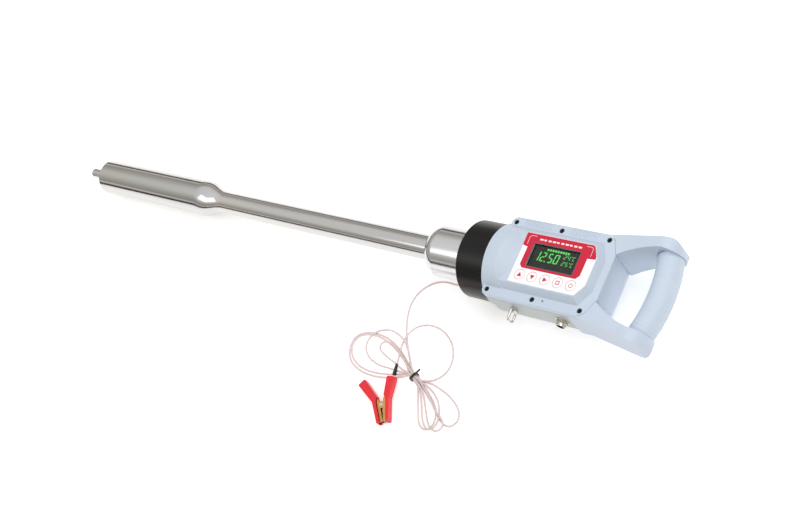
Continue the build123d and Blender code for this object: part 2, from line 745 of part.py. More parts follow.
def lead_route():
    x, y, z = gland_exit()
    drop = tan(radians(TILT))
    straight = (x - 14.0, y, z - 14.0 * drop)
    return [(x, y, z), straight] + LEAD_ROUTE


def hank_lobe(points):
    path = FilletPolyline(*points, radius=5.0, close=True)
    return extrude(make_face(path), amount=HANK_HEIGHT)


def tie_place():
    return Pos(*TIE_AT, 0) * Rot(0, 0, TIE_HEADING)


def lead_hank():
    """Outer form of the folded lead: a lobe each side of the tie, drawn together at the neck."""
    left = hank_lobe([
        (-47, -146), (-70, -133), (-84, -112), (-100, -103), (-124, -106), (-153, -116),
        (-161, -135), (-150, -155), (-130, -167), (-104, -169), (-52, -159)])
    right = hank_lobe([
        (-43, -146), (-24, -149), (0, -154), (20, -161), (36, -173), (41, -188), (35, -199),
        (20, -210), (6, -215), (-7, -213), (-19, -199), (-34, -172), (-45, -160)])
    neck = tie_place() * block((-9, 9), (-NECK_HALF, NECK_HALF), (NECK_LOW, NECK_HIGH))
    around = tie_place() * block((-1.7, 1.7), (-30, 30), (-1, 20))
    return (left + right) - around + neck


def twist_tie():
    outer = block((-1.5, 1.5), (-NECK_HALF - TIE_WALL, NECK_HALF + TIE_WALL), (0, NECK_HIGH + TIE_WALL))
    inner = block((-9, 9), (-NECK_HALF, NECK_HALF), (NECK_LOW, NECK_HIGH))
    band = outer - inner
    twist = Pos(0, NECK_HALF + 3.2, NECK_HIGH) * Rot(90, 0, 0) * Cylinder(1.1, 5.0)
    return tie_place() * (band + twist)


# ---------------------------------------------------------------- crocodile clip, u along, v across

def clip_place():
    return Pos(*CLIP_PIN, CLIP_BASE) * Rot(0, 0, CLIP_HEADING) * Rot(0, -CLIP_PITCH, 0)


def handle_end(end, half_width, stretch=0.0):
    """The two corners of a clip handle's end, outer then inner."""
    side = 1 if end[1] > 0 else -1
    run = Vector(end[0] - 8, end[1] - 8 * side)
    along = run.normalized()
    out = Vector(-along.Y, along.X) * side
    tip = Vector(end[0], end[1]) + along * stretch
    outer = tip + out * half_width
    inner = tip - out * half_width
    return (outer.X, outer.Y), (inner.X, inner.Y)


def clip_boot(end):
    """Red sleeve: closed round the handle, open towards the jaw's teeth."""
    side = 1 if end[1] > 0 else -1
    outer, inner = handle_end(end, 5.8)
    skin = [(-23, 4.2 * side), (-23, 8.0 * side), (5, 11.4 * side), outer, inner, (12, 4.9 * side), (4, 6.8 * side)]
    outer, inner = handle_end(end, 4.4, -1.6)
    cavity = [(-24, 2.0 * side), (-24, 6.5 * side), (5.2, 9.9 * side), outer, inner, (12, 6.4 * side), (4, 2.0 * side)]
    body = prism_z(skin, 0, CLIP_WIDTH)
    upright = body.edges().filter_by(Axis.Z).filter_by(lambda e: e.center().X > 20)
    body = fillet(upright, 2.2)
    flat = body.faces().filter_by(Axis.Z)
    body = fillet(flat.edges().filter_by(lambda e: e.center().X > 6), 1.2)
    return body - prism_z(cavity, 1.5, CLIP_WIDTH - 1.5)


def clip_jaw(end, cheeks, hole_r):
    """Folded brass channel: two cheeks and the web behind them."""
    side = 1 if end[1] > 0 else -1
    outer, inner = handle_end(end, 4.3, -3.0)
    outline = [(-22, 0.25 * side), (-22, 6.3 * side), (5.2, 9.7 * side), outer, inner, (12, 6.6 * side), (6.5, 3.0 * side)]
    full = prism_z(outline, cheeks[0], cheeks[1] + CHEEK)
    outer, inner = handle_end(end, 3.6, -1.0)
    within = [(-30, -6 * side), (-30, 4.9 * side), (5.4, 8.9 * side), outer, (60, inner[1]), (30, -6 * side)]
    body = full - prism_z(within, cheeks[0] + CHEEK, cheeks[1])
    for z in cheeks:
        body += rod_z(z, z + CHEEK, 4.6, 0, 0)
    for tooth in range(5):
        at = -20.5 + 3.0 * tooth
        cut = prism_z([(at, 0), (at + 1.5, 1.1 * side), (at + 3.0, 0)], 0, CLIP_WIDTH)
        body -= cut
    return body - rod_z(-1, 20, hole_r, 0, 0)


def clip_fixed_jaw():
    return clip_jaw(FIXED_END, FIXED_CHEEKS, PIN_R)


def clip_moving_jaw():
    return clip_jaw(MOVING_END, MOVING_CHEEKS, PIN_R + 0.05)


def clip_fixed_boot():
    return clip_boot(FIXED_END)


def clip_moving_boot():
    return clip_boot(MOVING_END)


def clip_pin():
    head = rod_z(FIXED_CHEEKS[1] + CHEEK, FIXED_CHEEKS[1] + CHEEK + 0.6, 2.3, 0, 0)
    return rod_z(FIXED_CHEEKS[0] - 0.6, FIXED_CHEEKS[1] + CHEEK + 0.1, PIN_R, 0, 0) + head


def clip_spring():
    low, high = MOVING_CHEEKS[0] + CHEEK + 0.2, MOVING_CHEEKS[1] - 0.2
    coil = rod_z(low, high, 2.9, 0, 0) - rod_z(low - 1, high + 1, PIN_R + 0.2, 0, 0)
    leg = Rot(0, 0, -28) * block((0, 13), (-2.8, -2.1), (low, low + 0.7))
    stub = Rot(0, 0, 40) * block((0, 5), (2.1, 2.8), (high - 0.7, high))
    return coil + (leg + stub - rod_z(low - 1, high + 1, 2.0, 0, 0))


def lead_sleeve():
    """Black sleeve where the lead enters the clip's handle."""
    end = Vector(*LOOP_ROUTE[-1])
    before = Vector(*LOOP_ROUTE[-2])
    along = (end - before).normalized()
    return Plane(end, z_dir=along) * Pos(0, 0, SLEEVE_LENGTH / 2) * Cone(1.9, 2.7, SLEEVE_LENGTH)


# ---------------------------------------------------------------- parts

INSTRUMENT = (
    tip_electrode, tip_insulator, temperature_sensor, head_end_cap, sensor_head, head_spacers,
    core_electrode, sensor_board, neck_sleeve, probe_shaft, signal_cable, shaft_ferrule, coupler,
    coupler_seals, coupler_gasket, coupler_nut, collar, collar_seal, lead_gland, rear_shell,
    front_cover, cover_gasket, cover_screws, status_light, overlay_label, window_lens, lcd_module,
    lcd_backlight, key_switches, main_board, board_posts, board_screws, buzzer, battery_cells,
    battery_holder, handle_frame, grip, handle_screws, strap_lug, strap_bail, charging_socket,
    socket_insert, socket_ring_nut, socket_back_nut)
CLIP = (clip_fixed_jaw, clip_moving_jaw, clip_fixed_boot, clip_moving_boot, clip_pin, clip_spring)


def write(name, shape):
    """Export a node with the origin on the surface, below the middle of the instrument."""
    solids = shape if isinstance(shape, list) else [shape]
    moved = [Pos(-ORIGIN_X, -ORIGIN_Y, 0) * solid for solid in solids]
    export_step(moved[0] if len(moved) == 1 else Compound(children=moved), f"parts/{name}.step")


os.makedirs("parts", exist_ok=True)
for maker in INSTRUMENT:
    made = maker()
    write(maker.__name__, [place(s) for s in made] if isinstance(made, list) else place(made))
for number, x in enumerate(key_places(), start=1):
    write(f"key_{number}", place(key(x)))
write("ground_lead", lead_tube("ground_lead", lead_route()))
write("ground_lead_end", lead_tube("ground_lead_end", LOOP_ROUTE))
for maker in (lead_hank, twist_tie, lead_sleeve):
    write(maker.__name__, maker())
for maker in CLIP:
    write(maker.__name__, clip_place() * maker())
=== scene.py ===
from math import atan, cos, pi, sin

import bmesh
import bpy
from mathutils import Matrix, Vector


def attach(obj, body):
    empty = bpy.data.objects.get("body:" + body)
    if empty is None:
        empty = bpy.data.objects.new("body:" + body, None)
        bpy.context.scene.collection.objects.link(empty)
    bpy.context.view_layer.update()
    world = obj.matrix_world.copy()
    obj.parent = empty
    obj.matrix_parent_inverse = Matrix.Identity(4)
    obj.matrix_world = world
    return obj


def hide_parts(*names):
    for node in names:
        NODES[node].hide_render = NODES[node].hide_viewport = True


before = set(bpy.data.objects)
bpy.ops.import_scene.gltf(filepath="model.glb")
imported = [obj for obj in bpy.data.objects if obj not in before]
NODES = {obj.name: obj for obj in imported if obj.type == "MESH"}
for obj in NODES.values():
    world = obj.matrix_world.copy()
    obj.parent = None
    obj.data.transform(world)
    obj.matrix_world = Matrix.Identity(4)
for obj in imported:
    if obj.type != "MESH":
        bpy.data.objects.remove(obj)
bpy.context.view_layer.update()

# ------------------------------------------------------------ the instrument's own frame, in mm
# X runs along the probe with 0 at the collar's front face, Y across the panel, Z out of the panel.
MM = 0.001
TILT = atan(24.0 / 755.7)
LIFT = 49.5 * cos(TILT) - 50.0 * sin(TILT)
ORIGIN = Vector((-243.47, -3.55, 0.0))
TO_FLOOR = Matrix.Scale(MM, 4) @ Matrix.Translation(-ORIGIN)
TO_ROW = TO_FLOOR @ Matrix.Translation((0, 0, LIFT)) @ Matrix.Rotation(-TILT, 4, "Y")


def at(x, y, z):
    """A point of the instrument's frame, in the row frame."""
    return TO_ROW @ Vector((x, y, z))


def on_floor(x, y, z):
    """A point of the surface's frame, whose origin is below the collar's face, in the row frame."""
    return TO_FLOOR @ Vector((x, y, z))


# ------------------------------------------------------------ camera

CAMERA_AT = (883.0, -436.2, 1187.5)
CAMERA_RIGHT = (0.7602, 0.4152, -0.4998)
CAMERA_DOWN = (0.182, -0.8745, -0.4496)
CAMERA_LENS = 58.71


def make_camera():
    data = bpy.data.cameras.new("camera")
    data.lens = CAMERA_LENS
    data.sensor_width = 36.0
    data.sensor_fit = "HORIZONTAL"
    data.clip_start = 0.05
    data.clip_end = 50.0
    cam = bpy.data.objects.new("camera", data)
    bpy.context.scene.collection.objects.link(cam)
    turn = TO_ROW.to_3x3() * (1 / MM)
    right = (turn @ Vector(CAMERA_RIGHT)).normalized()
    down = (turn @ Vector(CAMERA_DOWN)).normalized()
    forward = right.cross(down).normalized()
    up = forward.cross(right) * -1
    pose = Matrix((right, up, -forward)).transposed().to_4x4()
    pose.translation = at(*CAMERA_AT)
    cam.matrix_world = pose
    bpy.context.scene.camera = cam


make_camera()


def area(name, place, aim, size, power):
    data = bpy.data.lights.new(name, "AREA")
    data.shape = "RECTANGLE"
    data.size, data.size_y = size
    data.energy = power
    lamp = bpy.data.objects.new(name, data)
    bpy.context.scene.collection.objects.link(lamp)
    lamp.location = place
    lamp.rotation_mode = "QUATERNION"
    lamp.rotation_quaternion = (Vector(aim) - Vector(place)).to_track_quat("-Z", "Y")
    return lamp


# ------------------------------------------------------------ ground lead: one cord from gland to clip

LEAD_D = 2.4
TIE_AT = (-45.0, -152.5)
TIE_ALONG = (0.891, -0.454)
TIE_ACROSS = (0.454, 0.891)
PASSES = (
    (-3.6, 2.4), (-1.2, 2.4), (1.2, 2.4), (3.6, 2.4), (-2.4, 4.5), (0, 4.5), (2.4, 4.5), (-1.2, 6.5), (1.2, 6.5))
EXIT = (-5.03, -25.71, 17.07)
LEAD = [
    EXIT, (-19.02, -25.71, 16.63), (-34, -26, 10.6), (-47, -25.4, 4.2), (-61, -23.4, 1.4), (-77, -27, 1.25),
    (-92, -40, 1.25), (-99, -58, 1.25), (-96.5, -77, 1.25), (-89, -95, 1.3), (-79.5, -112, 1.3),
    (-67.5, -127, 2.2), (-58.5, -138, 3.6)]

# Each turn of the hank: its height, and the line from the tie round and back to it
HANK = (
    (1.3, [(-26, -152), (-1, -157), (18, -164), (33, -175), (37, -187), (30, -197), (17, -196), (0, -182),
           (-24, -164)]),
    (1.3, [(-64, -157), (-86, -164), (-107, -167), (-131, -165), (-150, -155), (-158, -140), (-157, -124),
           (-144, -115), (-125, -112.5), (-104, -115), (-84, -124), (-66, -136)]),
    (3.2, [(-31, -170), (-20, -190), (-12, -205), (-1, -211), (8, -204), (7, -189), (-3, -175), (-22, -163)]),
    (2.9, [(-66, -155), (-88, -160), (-110, -163), (-132, -160), (-148, -150), (-155, -137), (-151, -122),
           (-137, -117), (-119, -116), (-99, -121), (-80, -130), (-64, -140)]),
    (4.4, [(-27, -168), (-17, -184), (-8, -200), (3, -210), (13, -203), (12, -187), (0, -169), (-21, -158)]),
    (4.4, [(-66, -152), (-83, -151.5), (-102, -152), (-120, -147), (-132, -136), (-134, -123), (-126, -110),
           (-112, -104.5), (-98, -105), (-83, -111), (-70, -122), (-60, -135)]),
    (5.4, [(-26, -161), (-10, -172), (5, -186), (16, -190), (24, -199), (17, -209), (4, -205), (-8, -188),
           (-24, -166)]),
    (5.6, [(-64, -149), (-80, -143), (-98, -138), (-112, -131), (-110, -121), (-97, -120), (-80, -128),
           (-62, -141)]),
)
FREE_END = [
    (-27, -153.5, 3.2), (-13.5, -146.5, 1.7), (-4.5, -132, 1.3), (-6, -114, 1.3), (-16, -98, 1.3),
    (-33, -86.5, 1.3), (-53, -82.5, 1.9), (-70, -88, 4.4), (-79.5, -101, 5.4), (-82.5, -117, 5.0),
    (-78.6, -132, 5.2), (-75, -145, 6.4)]


def tie_pass(number):
    """Two points where the lead goes through the tie, left to right on even passes."""
    off, z = PASSES[number]
    ends = []
    for step in (-7.0, 7.0):
        x = TIE_AT[0] + step * TIE_ALONG[0] + off * TIE_ACROSS[0]
        y = TIE_AT[1] + step * TIE_ALONG[1] + off * TIE_ACROSS[1]
        ends.append((x, y, z))
    return ends if number % 2 == 0 else ends[::-1]


def lead_points():
    points = LEAD + tie_pass(0)
    for i, (z, loop) in enumerate(HANK):
        points += [(x, y, z) for x, y in loop] + tie_pass(i + 1)
    return points + FREE_END


def make_cord(name, points, diameter):
    data = bpy.data.curves.new(name, "CURVE")
    data.dimensions = "3D"
    data.bevel_depth = diameter / 2
    data.bevel_resolution = 4
    data.resolution_u = 8
    data.use_fill_caps = True
    line = data.splines.new("NURBS")
    line.points.add(len(points) - 1)
    for p, q in zip(line.points, points):
        p.co = (*on_floor(*q), 1.0)
    line.order_u = 3
    line.use_endpoint_u = True
    obj = bpy.data.objects.new(name, data)
    bpy.context.scene.collection.objects.link(obj)
    return obj


# ------------------------------------------------------------ materials


def tone(r, g, b):
    """A colour given as it looks, 0 to 255, as the shader wants it."""
    return tuple(((c / 255 + 0.055) / 1.055) ** 2.4 if c > 10 else c / 3294 for c in (r, g, b))


def surface(name, color, rough, metal=0.0, vary=0.05, scale=220.0, grain=0.06, stretch=(1, 1, 1), alpha=1.0,
            coat=0.0, glow=0.0, tint=None, through=0.0, mirror=0.5):
    """A detailed surface: uneven colour, wear in the gloss and a fine grain."""
    mat = bpy.data.materials.new(name)
    mat.use_nodes = True
    nodes, links = mat.node_tree.nodes, mat.node_tree.links
    shader = nodes["Principled BSDF"]
    where = nodes.new("ShaderNodeTexCoord")
    fit = nodes.new("ShaderNodeMapping")
    fit.inputs["Scale"].default_value = stretch
    links.new(where.outputs["Object"], fit.inputs["Vector"])
    broad = nodes.new("ShaderNodeTexNoise")
    broad.inputs["Scale"].default_value = scale / 12
    broad.inputs["Detail"].default_value = 5
    fine = nodes.new("ShaderNodeTexNoise")
    fine.inputs["Scale"].default_value = scale * 6
    fine.inputs["Detail"].default_value = 3
    for n in (broad, fine):
        links.new(fit.outputs["Vector"], n.inputs["Vector"])
    ramp = nodes.new("ShaderNodeValToRGB")
    ramp.color_ramp.elements[0].position = 0.3
    ramp.color_ramp.elements[1].position = 0.7
    low = tone(*color)
    high = tone(*(tint or color))
    ramp.color_ramp.elements[0].color = (*(c * (1 - vary) for c in low), 1)
    ramp.color_ramp.elements[1].color = (*(min(1, c * (1 + vary)) for c in high), 1)
    links.new(broad.outputs["Fac"], ramp.inputs["Fac"])
    links.new(ramp.outputs["Color"], shader.inputs["Base Color"])
    gloss = nodes.new("ShaderNodeMapRange")
    gloss.inputs["To Min"].default_value = rough * 0.8
    gloss.inputs["To Max"].default_value = min(1.0, rough * 1.25)
    links.new(broad.outputs["Fac"], gloss.inputs["Value"])
    links.new(gloss.outputs["Result"], shader.inputs["Roughness"])
    bump = nodes.new("ShaderNodeBump")
    bump.inputs["Strength"].default_value = grain
    bump.inputs["Distance"].default_value = 0.0002
    links.new(fine.outputs["Fac"], bump.inputs["Height"])
    links.new(bump.outputs["Normal"], shader.inputs["Normal"])
    shader.inputs["Metallic"].default_value = metal
    shader.inputs["Specular IOR Level"].default_value = mirror
    shader.inputs["Coat Weight"].default_value = coat
    shader.inputs["Alpha"].default_value = alpha
    shader.inputs["Transmission Weight"].default_value = through
    if glow:
        links.new(ramp.outputs["Color"], shader.inputs["Emission Color"])
        shader.inputs["Emission Strength"].default_value = glow
    return mat


ALONG = (0.03, 1, 1)
MATERIALS = {
    "polished_steel": surface(
        "polished_steel", (205, 205, 208), 0.13, 1.0, 0.08, 300, 0.03, ALONG, tint=(222, 216, 208)),
    "polished_aluminium": surface("polished_aluminium", (214, 214, 218), 0.16, 1.0, 0.06, 300, 0.03, ALONG),
    "nylon_white": surface("nylon_white", (232, 230, 224), 0.45),
    "board_green": surface("board_green", (28, 96, 58), 0.4, vary=0.12),
    "cable_grey": surface("cable_grey", (120, 122, 126), 0.5),
    "rubber_black": surface("rubber_black", (30, 30, 32), 0.7, grain=0.15),
    "collar_black": surface(
        "collar_black", (6, 6, 8), 0.3, vary=0.2, grain=0.03, tint=(10, 8, 9), mirror=0.3),
    "shell_plastic": surface("shell_plastic", (182, 188, 190), 0.48, vary=0.03, grain=0.12),
    "cover_plastic": surface("cover_plastic", (190, 202, 218), 0.42, vary=0.03, grain=0.1),
    "grip_plastic": surface("grip_plastic", (192, 204, 220), 0.5, vary=0.03, grain=0.14),
    "screw_steel": surface("screw_steel", (62, 62, 66), 0.45, 1.0, 0.1),
    "light_lens": surface("light_lens", (206, 212, 220), 0.15, vary=0.1, coat=0.5),
    "label_film": surface("label_film", (248, 248, 250), 0.38, vary=0.02, grain=0.05),
    "window_glass": surface("window_glass", (40, 46, 40), 0.06, vary=0.01, grain=0.0, alpha=0.03),
    "display_glass": surface("display_glass", (28, 33, 26), 0.5, vary=0.15, grain=0.0),
    "backlight": surface("backlight", (220, 230, 214), 0.5),
    "switch_black": surface("switch_black", (34, 34, 36), 0.5),
    "cell_wrap": surface("cell_wrap", (44, 92, 128), 0.3, vary=0.1),
    "bright_metal": surface("bright_metal", (210, 208, 204), 0.18, 1.0, 0.1, 260, 0.05),
    "brass": surface("brass", (206, 150, 92), 0.24, 1.0, 0.15, 260, 0.06, tint=(224, 176, 110)),
    "lead_jacket": surface("lead_jacket", (232, 214, 213), 0.28, vary=0.06, grain=0.04, coat=0.3, through=0.15),
    "tie_black": surface("tie_black", (26, 26, 28), 0.42, vary=0.15, grain=0.1),
    "vinyl_red": surface("vinyl_red", (226, 0, 28), 0.42, vary=0.08, grain=0.05, coat=0.25),
}
PRINT_RED = surface("print_red", (200, 0, 50), 0.34, vary=0.04, grain=0.03)
PRINT_PINK = surface("print_pink", (232, 120, 140), 0.36, vary=0.04, grain=0.03)
PRINT_PALE = surface("print_pale", (246, 232, 234), 0.36, vary=0.03, grain=0.03)
PRINT_GREY = surface("print_grey", (92, 86, 90), 0.4, vary=0.05, grain=0.03)
LCD_GREEN = surface("lcd_green", (84, 188, 88), 0.3, vary=0.06, grain=0.0, glow=0.6)
for node in NODES.values():
    kind = node.data.materials[0].name.split(".")[0]
    node.data.materials.clear()
    node.data.materials.append(MATERIALS[kind])
NICKEL = surface("nickel_brass", (196, 184, 160), 0.22, 1.0, 0.12, 260, 0.05)
for name in ("socket_ring_nut", "socket_back_nut"):
    NODES[name].data.materials.clear()
    NODES[name].data.materials.append(NICKEL)


# ------------------------------------------------------------ pieces

LABEL_Z = 36.6
OVERPRINT_Z = 36.72
INK = 0.08
FIELD_INK = 0.12
FIGURES_Z = 33.95
KEY_X = 87.9
KEY_PITCH = 17.1
KEY_Y = -21.2
KEY_COUNT = 5
GRIP_X = 239.5
GRIP_Z = 2.6
GRIP_BOW = 7.0
GRIP_END_Y = 49.0
SKIN_R = 15.04
SKIN_HALF = 44.6
RIB_PITCH = 4.2
RIB_HEIGHT = 0.28
TIE_MIDDLE_Z = 4.5
TIE_HALF_WIDTH = 6.0
TIE_HALF_HEIGHT = 4.1
TIE_LOWEST = 0.15
TWIST_Z = 7.6
TWIST_R = 0.6
TWIST_WIRE_R = 0.62
TWIST_TURNS = 2.2


def finish_piece(obj, mat, body="instrument"):
    if not obj.data.materials:
        obj.data.materials.append(mat)
    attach(obj, body)
    return obj


def mesh_piece(name, points, faces, mat, body="instrument"):
    data = bpy.data.meshes.new(name)
    data.from_pydata([tuple(p) for p in points], [], faces)
    work = bmesh.new()
    work.from_mesh(data)
    bmesh.ops.recalc_face_normals(work, faces=work.faces)
    work.to_mesh(data)
    work.free()
    data.polygons.foreach_set("use_smooth", [True] * len(data.polygons))
    obj = bpy.data.objects.new(name, data)
    bpy.context.scene.collection.objects.link(obj)
    return finish_piece(obj, mat, body)


def plate(name, loops, z, thick, mat, body="instrument"):
    """A thin printed area; the loops inside another are its holes."""
    data = bpy.data.curves.new(name, "CURVE")
    data.dimensions = "2D"
    data.fill_mode = "BOTH"
    data.extrude = thick * MM / 2
    for loop in loops:
        line = data.splines.new("POLY")
        line.points.add(len(loop) - 1)
        for p, (x, y) in zip(line.points, loop):
            p.co = (x * MM, y * MM, 0, 1)
        line.use_cyclic_u = True
    flat = bpy.data.objects.new(name + "_outline", data)
    bpy.context.scene.collection.objects.link(flat)
    bpy.context.view_layer.update()
    mesh = bpy.data.meshes.new_from_object(flat)
    bpy.data.objects.remove(flat)
    mesh.materials.clear()
    turn = TO_ROW @ Matrix.Translation((0, 0, z + thick / 2)) @ Matrix.Scale(1 / MM, 4)
    mesh.transform(turn)
    obj = bpy.data.objects.new(name, mesh)
    bpy.context.scene.collection.objects.link(obj)
    return finish_piece(obj, mat, body)


def ring_loop(x, y, r, count=48):
    return [(x + r * cos(2 * pi * i / count), y + r * sin(2 * pi * i / count)) for i in range(count)]


def bar(x0, y0, x1, y1, lean=0.0):
    return [(x0 + lean * y0, y0), (x1 + lean * y0, y0), (x1 + lean * y1, y1), (x0 + lean * y1, y1)]


def revolve(name, place, radii, mat, count=40, body="instrument"):
    """Rings of the given radii round a line; place(i) gives each ring's centre and two sideways directions."""
    points = []
    faces = []
    for i, r in enumerate(radii):
        centre, side, up = place(i)
        for k in range(count):
            turn = 2 * pi * k / count
            points.append(centre + (side * cos(turn) + up * sin(turn)) * (r * MM))
    for i in range(len(radii) - 1):
        for k in range(count):
            a = i * count + k
            b = i * count + (k + 1) % count
            faces.append((a, b, b + count, a + count))
    faces.append(tuple(range(count))[::-1])
    faces.append(tuple(range((len(radii) - 1) * count, len(radii) * count)))
    return mesh_piece(name, points, faces, mat, body)


def along(start, end, count):
    """Ring places evenly from start to end, points of the row frame."""
    axis = (end - start).normalized()
    side = axis.cross(Vector((0, 0, 1))).normalized()
    up = side.cross(axis)
    return lambda i: (start.lerp(end, i / (count - 1)), side, up)


def label_prints():
    top = [
        (75.6, 31.2), (75.6, 15.6), (78.6, 14.4), (82.8, 14.0), (82.8, -8.7), (86.5, -12.6), (158.4, -12.4),
        (162.4, -7.4), (162.4, 14.0), (172.6, 14.8), (172.6, 17.6), (166.6, 28.9), (164.4, 31.2)]
    window = [(90.6, -8.8), (151.8, -8.8), (151.8, 19.7), (90.6, 19.7)]
    plate("print_field", [top, window], LABEL_Z, FIELD_INK, PRINT_RED)
    for name, x, way in (("left", 80.6, 1), ("right", 165.4, -1)):
        line = (
            (0, 26.6), (2, 28.6), (9, 28.6), (9, 28.15), (2.2, 28.15), (0.45, 26.4), (0.45, 17.0), (0, 17.0))
        corner = [(x + dx * way, y) for dx, y in line][::way]
        plate("print_bracket_" + name, [corner], OVERPRINT_Z, INK, PRINT_PALE)
    dashes = [bar(95.0 + 5.7 * i, 24.4, 95.0 + 5.7 * i + (4.4, 3.2, 3.9)[i % 3], 26.4) for i in range(10)]
    plate("print_dashes", dashes, OVERPRINT_Z, INK, PRINT_PALE)
    rim = [(89.6, -9.8), (152.8, -9.8), (152.8, 20.7), (89.6, 20.7)]
    plate("print_window_rim", [rim, window], OVERPRINT_Z, INK, PRINT_GREY)


SEGMENTS = {
    "0": "abcdef", "1": "bc", "2": "abged", "4": "fgbc", "5": "afgcd", "C": "afed",
}


def digit(mark, x, y, high, wide):
    """The lit bars of one seven-bar figure, its lower left corner at x, y."""
    t = high * 0.12
    g = t * 0.25
    mid = high / 2
    spots = {
        "a": bar(g + t, high - t, wide - g - t, high), "d": bar(g + t, 0, wide - g - t, t),
        "g": bar(g + t, mid - t / 2, wide - g - t, mid + t / 2),
        "f": bar(0, mid + g, t, high - g), "b": bar(wide - t, mid + g, wide, high - g),
        "e": bar(0, g, t, mid - g), "c": bar(wide - t, g, wide, mid - g),
    }
    return [[(x + px + 0.1 * py, y + py) for px, py in spots[s]] for s in SEGMENTS[mark]]


def display_figures():
    lit = []
    for i, mark in enumerate("1250"):
        lit += digit(mark, 94.8 + 7.9 * i + (1.8 if i > 1 else 0), 0.4, 12.0, 6.2)
    lit.append(bar(109.2, 0.4, 110.7, 1.9))
    for row, marks in ((8.4, "24"), (0.4, "25")):
        for i, mark in enumerate(marks):
            lit += digit(mark, 132.0 + 4.8 * i, row, 5.2, 3.4)
        lit.append(bar(141.9, row + 4.0, 142.9, row + 5.0))
        lit += digit("C", 143.8, row, 5.2, 3.2)
    for i in range(9):
        lit.append(bar(108.0 + 3.4 * i, 14.6, 110.4 + 3.4 * i, 17.2))
    plate("lcd_figures", lit, FIGURES_Z, INK * 0.75, LCD_GREEN)


def key_marks():
    for i in range(KEY_COUNT):
        x, y = KEY_X + KEY_PITCH * i, KEY_Y
        marks = (
            [[(x - 3.0, y - 2.3), (x + 3.0, y - 2.3), (x, y + 3.0)]],
            [[(x - 3.0, y + 2.3), (x + 3.0, y + 2.3), (x, y - 3.0)]],
            [[(x - 2.3, y - 3.0), (x - 2.3, y + 3.0), (x + 3.0, y)]],
            [bar(x - 2.4, y - 2.4, x + 2.4, y + 2.4), bar(x - 1.5, y - 1.5, x + 1.5, y + 1.5)],
            [ring_loop(x, y, 2.6), ring_loop(x, y, 1.9)],
        )
        body = f"key_{i + 1}"
        top = height_of(body)
        rim = [ring_loop(x, y, 6.3), ring_loop(x, y, 5.95)]
        plate(f"key_ring_{i + 1}", rim, top, INK, PRINT_PINK, body)
        plate(f"key_mark_{i + 1}", marks[i], top, INK, PRINT_RED, body)


def height_of(name):
    """How high a part comes out of the panel, in the instrument's own frame."""
    back = TO_ROW.inverted()
    return max((back @ v.co).z for v in NODES[name].data.vertices)


def grip_skin():
    """Moulded skin of the grip: fine ribs round it between two plain cuffs, on the bowed line."""
    count = 241
    across = (at(1, 0, 0) - at(0, 0, 0)).normalized()
    width = (at(0, 1, 0) - at(0, 0, 0)).normalized()
    up = (at(0, 0, 1) - at(0, 0, 0)).normalized()

    def station(i):
        return -SKIN_HALF + 2 * SKIN_HALF * i / (count - 1)

    def place(i):
        y = station(i)
        slope = -2 * GRIP_BOW * y / GRIP_END_Y ** 2
        centre = at(GRIP_X + GRIP_BOW * (1 - (y / GRIP_END_Y) ** 2), y, GRIP_Z)
        return centre, (across - width * slope).normalized(), up

    radii = []
    for i in range(count):
        y = abs(station(i))
        cuff = 0.0 if abs(y - 41.2) < 0.7 else 0.22
        rib = RIB_HEIGHT * (0.5 + 0.5 * cos(2 * pi * y / RIB_PITCH)) if y < 40 else cuff
        radii.append(SKIN_R + rib)
    radii[0] = radii[-1] = 15.02
    return revolve("grip_skin", place, radii, MATERIALS["grip_plastic"], 56)


def tie_band():
    """Wire tie drawn round the hank, with its twisted ends."""
    pieces = []
    outer = []
    count = 64
    for i in range(count):
        turn = 2 * pi * i / count
        c, s = cos(turn), sin(turn)
        across = TIE_HALF_WIDTH * (abs(c) ** 0.55) * (1 if c > 0 else -1)
        up = TIE_MIDDLE_Z + TIE_HALF_HEIGHT * (abs(s) ** 0.6) * (1 if s > 0 else -1)
        outer.append((across, up))
    points = []
    profile = (
        (-1.9, -0.4), (-1.5, 0.1), (-0.5, 0.25), (0.5, 0.25), (1.5, 0.1), (1.9, -0.4), (1.5, -0.8), (-1.5, -0.8))
    for step, out in profile:
        for across, up in outer:
            r = 1 + out / TIE_HALF_WIDTH
            a = across * r
            z = max(TIE_LOWEST, TIE_MIDDLE_Z + (up - TIE_MIDDLE_Z) * r)
            x = TIE_AT[0] + step * TIE_ALONG[0] + a * TIE_ACROSS[0]
            y = TIE_AT[1] + step * TIE_ALONG[1] + a * TIE_ACROSS[1]
            points.append(on_floor(x, y, z))
    faces = []
    for i in range(len(profile)):
        here = i * count
        after = (i + 1) % len(profile) * count
        for k in range(count):
            beside = (k + 1) % count
            faces.append((here + k, here + beside, after + beside, after + k))
    band = mesh_piece("tie_band", points, faces, MATERIALS["tie_black"])
    pieces.append(band)
    stations = 40
    for half in (0.0, pi):
        line = []
        for i in range(stations):
            far = 5.4 + 6.4 * i / (stations - 1)
            turn = half + 2 * pi * TWIST_TURNS * i / (stations - 1)
            x = TIE_AT[0] + far * TIE_ACROSS[0] + TWIST_R * cos(turn) * TIE_ALONG[0]
            y = TIE_AT[1] + far * TIE_ACROSS[1] + TWIST_R * cos(turn) * TIE_ALONG[1]
            line.append(on_floor(x, y, TWIST_Z + TWIST_R * sin(turn)))

        def place(i, line=line):
            ahead = line[min(i + 1, stations - 1)] - line[max(i - 1, 0)]
            side = ahead.cross(Vector((0, 0, 1))).normalized()
            return line[i], side, side.cross(ahead.normalized())

        name = "tie_end_" + ("a" if half == 0 else "b")
        pieces.append(revolve(name, place, [TWIST_WIRE_R] * stations, MATERIALS["tie_black"], 12))
    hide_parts("twist_tie")
    return pieces


